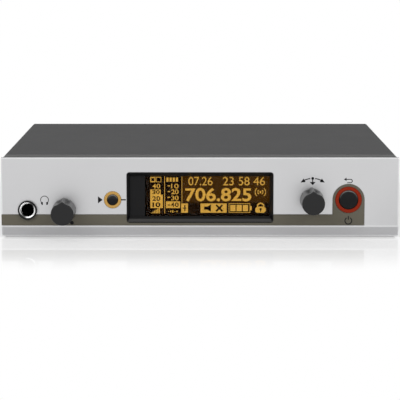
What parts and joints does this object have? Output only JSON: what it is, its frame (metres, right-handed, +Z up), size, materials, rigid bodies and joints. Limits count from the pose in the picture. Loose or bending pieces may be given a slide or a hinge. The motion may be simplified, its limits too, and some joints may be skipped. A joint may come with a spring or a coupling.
{
  "type": "wireless receiver",
  "caption": "Half-rack wireless audio receiver: silver front with a display, knobs, lit buttons and a phones socket, dark steel case, antenna and audio connectors at the back.",
  "frame": {"origin": "on the surface it stands on, under the middle of its overall box", "axes": "+X to the right seen from the front, +Y from the front to the back, +Z up"},
  "size_m": [0.212, 0.202, 0.0434],
  "materials": {
    "satin_aluminium": "fine satin anodised",
    "olive_inlay": "satin olive grey",
    "painted_steel": "fine textured dark grey powder coat",
    "tray_steel": "zinc plated sheet",
    "dark_plastic": "fine textured",
    "black_plastic": "satin black",
    "knob_plastic": "soft-touch matte",
    "smoked_lens": "smoked clear",
    "display_glass": "dark glass",
    "chrome": "bright nickel",
    "plated_steel": "nickel plated",
    "brass": "gold flashed",
    "amber_guide": "translucent amber",
    "red_guide": "translucent red",
    "green_board": "solder resist",
    "grey_ribbon": "flat cable insulation",
    "rubber": "matte"
  },
  "bodies": {
    "chassis": {"faceplate": "satin_aluminium", "inlay_band": "olive_inlay", "front_frame": "dark_plastic", "top_cover": "painted_steel", "base_tray": "tray_steel", "rear_panel": "painted_steel", "foot_front_left": "rubber", "foot_front_right": "rubber", "foot_rear_left": "rubber", "foot_rear_right": "rubber", "side_screw_left_front": "plated_steel", "side_screw_right_front": "plated_steel", "side_screw_left_rear": "plated_steel", "side_screw_right_rear": "plated_steel", "rear_screw_left": "plated_steel", "rear_screw_right": "plated_steel", "display_bezel": "black_plastic", "display_lens": "smoked_lens", "display_glass": "display_glass", "display_backlight": "black_plastic", "volume_pot": "plated_steel", "volume_nut": "plated_steel", "jog_encoder": "plated_steel", "jog_nut": "plated_steel", "sync_ring": "amber_guide", "sync_switch": "black_plastic", "power_ring": "red_guide", "power_switch": "black_plastic", "phones_nut": "black_plastic", "phones_ferrule": "chrome", "phones_socket": "black_plastic", "front_board": "green_board", "main_board": "green_board", "tuner_shield_left": "plated_steel", "tuner_shield_right": "plated_steel", "ribbon_cable": "grey_ribbon", "antenna_socket_left": "plated_steel", "antenna_socket_right": "plated_steel", "antenna_nut_left": "plated_steel", "antenna_nut_right": "plated_steel", "xlr_shell": "black_plastic", "xlr_insert": "black_plastic", "xlr_pin_1": "brass", "xlr_pin_2": "brass", "xlr_pin_3": "brass", "xlr_screw_upper": "plated_steel", "xlr_screw_lower": "plated_steel", "line_out_nut": "black_plastic", "line_out_ferrule": "chrome", "line_out_socket": "black_plastic", "network_socket": "plated_steel", "power_inlet": "black_plastic"},
    "volume_control": {"volume_knob": "knob_plastic", "volume_shaft": "plated_steel"},
    "jog_press_stage": {"jog_plunger": "black_plastic"},
    "jog_control": {"jog_knob": "knob_plastic", "jog_shaft": "plated_steel"},
    "sync_key": {"sync_button": "black_plastic"},
    "power_key": {"power_button": "black_plastic"}
  },
  "joints": [
    {"name": "volume_turn", "type": "hinge", "parent": "chassis", "child": "volume_control", "pos_m": [-0.0724, -0.085, 0.015], "axis": [0, 1, 0], "range_deg": [-150, 150]},
    {"name": "jog_press", "type": "slide", "parent": "chassis", "child": "jog_press_stage", "axis": [0, 1, 0], "range_m": [0, 0.0005], "stiffness_N_per_m": 400, "springref_m": -0.003},
    {"name": "jog_turn", "type": "hinge", "parent": "jog_press_stage", "child": "jog_control", "pos_m": [0.0596, -0.085, 0.0205], "axis": [0, 1, 0], "continuous": true},
    {"name": "sync_press", "type": "slide", "parent": "chassis", "child": "sync_key", "axis": [0, 1, 0], "range_m": [0, 0.0006], "stiffness_N_per_m": 200, "springref_m": -0.004},
    {"name": "power_press", "type": "slide", "parent": "chassis", "child": "power_key", "axis": [0, 1, 0], "range_m": [0, 0.0006], "stiffness_N_per_m": 200, "springref_m": -0.004}
  ]
}
